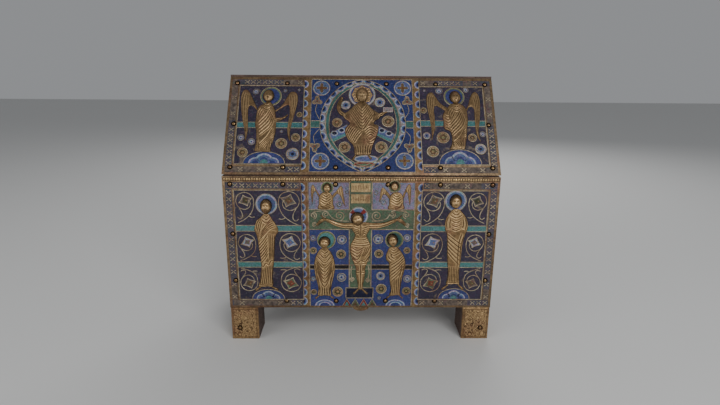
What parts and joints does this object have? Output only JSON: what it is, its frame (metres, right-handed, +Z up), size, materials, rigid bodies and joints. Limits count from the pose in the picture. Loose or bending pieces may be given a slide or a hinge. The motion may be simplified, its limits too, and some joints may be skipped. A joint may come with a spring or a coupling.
{
  "type": "reliquary casket",
  "caption": "House-shaped reliquary casket on square feet: an oak box and gabled lift-off roof sheathed in nailed gilt and enamelled copper plates with chased figures and applied heads.",
  "frame": {"origin": "on the ground under the middle of the whole casket, with the heads that stand out from the front and the nails at the back counted in", "axes": "+X along the casket to the right of someone who faces its front, -Y out of the front, +Z up"},
  "size_m": [0.283, 0.1376, 0.2785],
  "materials": {
    "oak": "old dark oak, dry and unpolished",
    "enamelled_copper": "champleve enamel in blues, green, white and red, with chased gilt copper figures and worn gilding",
    "gilt_copper": "worn mercury gilding over copper, brown in the hollows"
  },
  "bodies": {
    "root": {"box_front_board": "oak", "box_back_board": "oak", "box_left_board": "oak", "box_right_board": "oak", "box_floor_board": "oak", "roof_front_board": "oak", "roof_back_board": "oak", "roof_left_gable_board": "oak", "roof_right_gable_board": "oak", "ridge_strip": "oak", "front_left_foot_block": "oak", "front_left_foot_face_plate": "gilt_copper", "front_left_foot_side_plate": "gilt_copper", "front_right_foot_block": "oak", "front_right_foot_face_plate": "gilt_copper", "front_right_foot_side_plate": "gilt_copper", "back_left_foot_block": "oak", "back_left_foot_face_plate": "gilt_copper", "back_left_foot_side_plate": "gilt_copper", "back_right_foot_block": "oak", "back_right_foot_face_plate": "gilt_copper", "back_right_foot_side_plate": "gilt_copper", "front_wall_plate": "enamelled_copper", "back_wall_plate": "enamelled_copper", "left_end_plate": "enamelled_copper", "right_end_plate": "enamelled_copper", "front_roof_plate": "enamelled_copper", "back_roof_plate": "enamelled_copper", "left_gable_plate": "enamelled_copper", "right_gable_plate": "enamelled_copper", "left_saint_head": "gilt_copper", "right_saint_head": "gilt_copper", "left_mourner_head": "gilt_copper", "right_mourner_head": "gilt_copper", "crucified_head": "gilt_copper", "wall_left_angel_head": "gilt_copper", "wall_right_angel_head": "gilt_copper", "roof_left_angel_head": "gilt_copper", "roof_right_angel_head": "gilt_copper", "roof_enthroned_head": "gilt_copper"}
  },
  "joints": []
}
